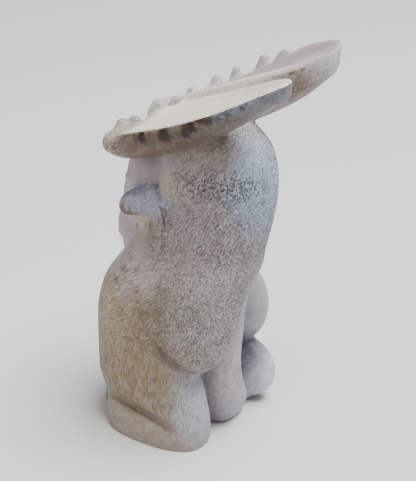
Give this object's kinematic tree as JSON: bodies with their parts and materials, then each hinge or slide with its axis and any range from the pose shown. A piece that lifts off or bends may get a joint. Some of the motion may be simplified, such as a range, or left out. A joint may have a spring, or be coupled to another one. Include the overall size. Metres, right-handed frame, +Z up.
{
  "type": "moose figurine",
  "caption": "Small antler carving of a moose sitting up on its haunches, muzzle hung on its chest, with dished palms swept back over its hump.",
  "frame": {"origin": "centre of the bounding box at the flat underside", "axes": "+Z up, the animal faces -Y, its left side is +X"},
  "size_m": [0.0388, 0.052, 0.0924],
  "materials": {
    "antler": "hand-polished antler, greyish beige, with fine knife strokes for the coat"
  },
  "bodies": {
    "root": {"moose": "antler"}
  },
  "joints": []
}
